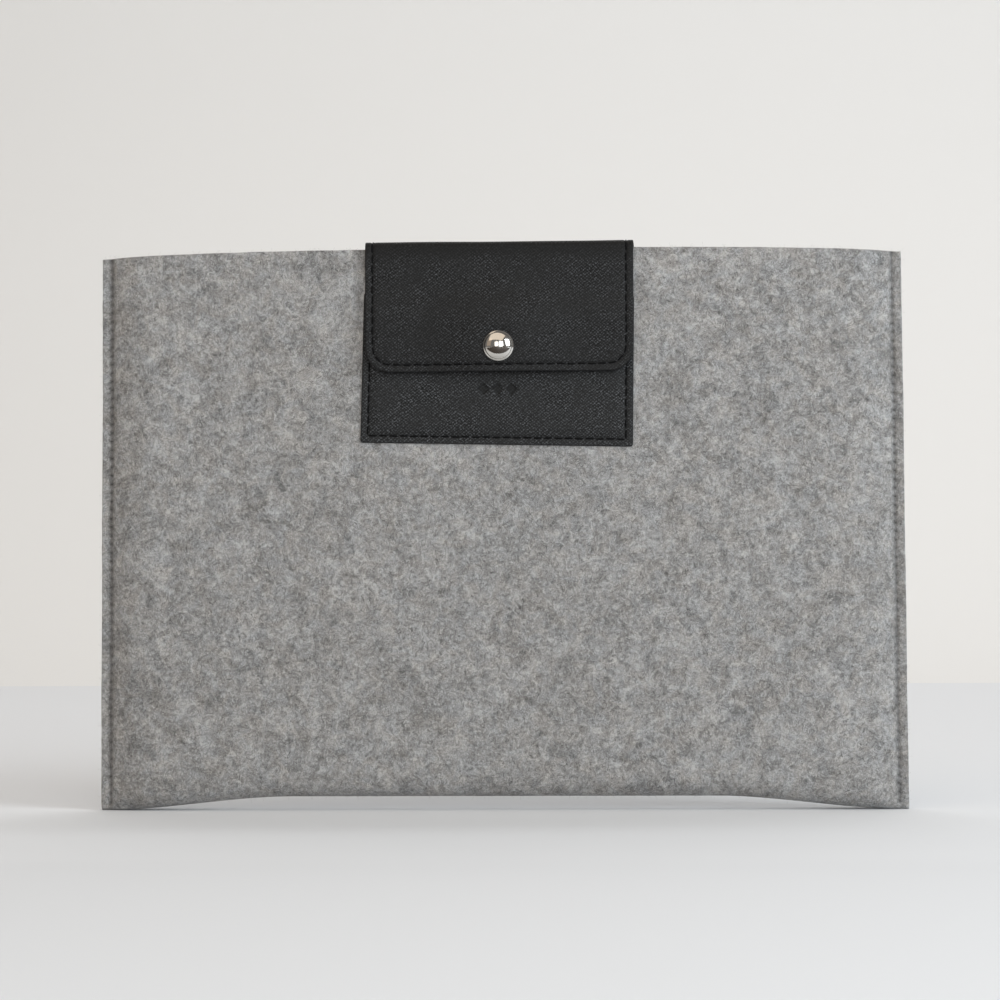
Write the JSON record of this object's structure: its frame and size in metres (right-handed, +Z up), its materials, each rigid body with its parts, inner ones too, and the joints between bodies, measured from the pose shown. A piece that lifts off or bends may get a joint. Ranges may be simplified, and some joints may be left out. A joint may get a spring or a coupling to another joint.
{
  "type": "laptop sleeve",
  "caption": "Flat grey wool-felt laptop sleeve, folded at the bottom and sewn up both sides, closed by a dark leather strap flap that snaps onto a leather patch on the front.",
  "frame": {"origin": "middle of the sleeve's width and of the whole part's depth, on the surface that the sleeve's two lower corners stand on", "axes": "+X across the sleeve, to the right as seen from the front; +Y to the back, so the flap's snap faces -Y; +Z up, out of the mouth"},
  "size_m": [0.335, 0.0301, 0.2359],
  "materials": {
    "felt": "thick heathered grey wool felt, matte, slightly fuzzy",
    "seam_thread": "grey twisted polyester sewing thread",
    "leather": "near-black, fine cross-hatched grain, satin",
    "lining": "near-black, smooth matte",
    "leather_thread": "near-black twisted polyester sewing thread",
    "nickel": "polished nickel plate",
    "spring_steel": "bright drawn spring wire"
  },
  "bodies": {
    "sleeve": {"felt_body": "felt", "left_seam_needle_thread": "seam_thread", "left_seam_bobbin_thread": "seam_thread", "right_seam_needle_thread": "seam_thread", "right_seam_bobbin_thread": "seam_thread", "stud_patch": "leather", "patch_needle_thread": "leather_thread", "patch_bobbin_thread": "leather_thread", "flap_outer_anchor": "leather", "flap_lining_anchor": "lining", "anchor_needle_thread": "leather_thread", "anchor_bobbin_thread": "leather_thread", "flap_outer_back_fold": "leather", "flap_lining_back_fold": "lining", "snap_stud": "nickel", "snap_post": "nickel"},
    "flap_bridge": {"flap_outer_bridge": "leather", "flap_lining_bridge": "lining", "bridge_needle_thread": "leather_thread", "bridge_bobbin_thread": "leather_thread", "flap_outer_front_fold": "leather", "flap_lining_front_fold": "lining"},
    "flap_tongue": {"flap_outer_tongue": "leather", "flap_lining_tongue": "lining", "tongue_needle_thread": "leather_thread", "tongue_bobbin_thread": "leather_thread", "snap_cap": "nickel", "snap_socket": "nickel", "snap_spring": "spring_steel"}
  },
  "joints": [
    {"name": "back_fold", "type": "hinge", "parent": "sleeve", "child": "flap_bridge", "pos_m": [0, 0.0114, 0.2323], "axis": [-1, 0, 0], "range_deg": [0, 135], "deforming": ["flap_outer_back_fold", "flap_lining_back_fold"]},
    {"name": "front_fold", "type": "hinge", "parent": "flap_bridge", "child": "flap_tongue", "pos_m": [0, -0.0041, 0.2323], "axis": [-1, 0, 0], "range_deg": [0, 95], "deforming": ["flap_outer_front_fold", "flap_lining_front_fold", "snap_spring"]}
  ]
}
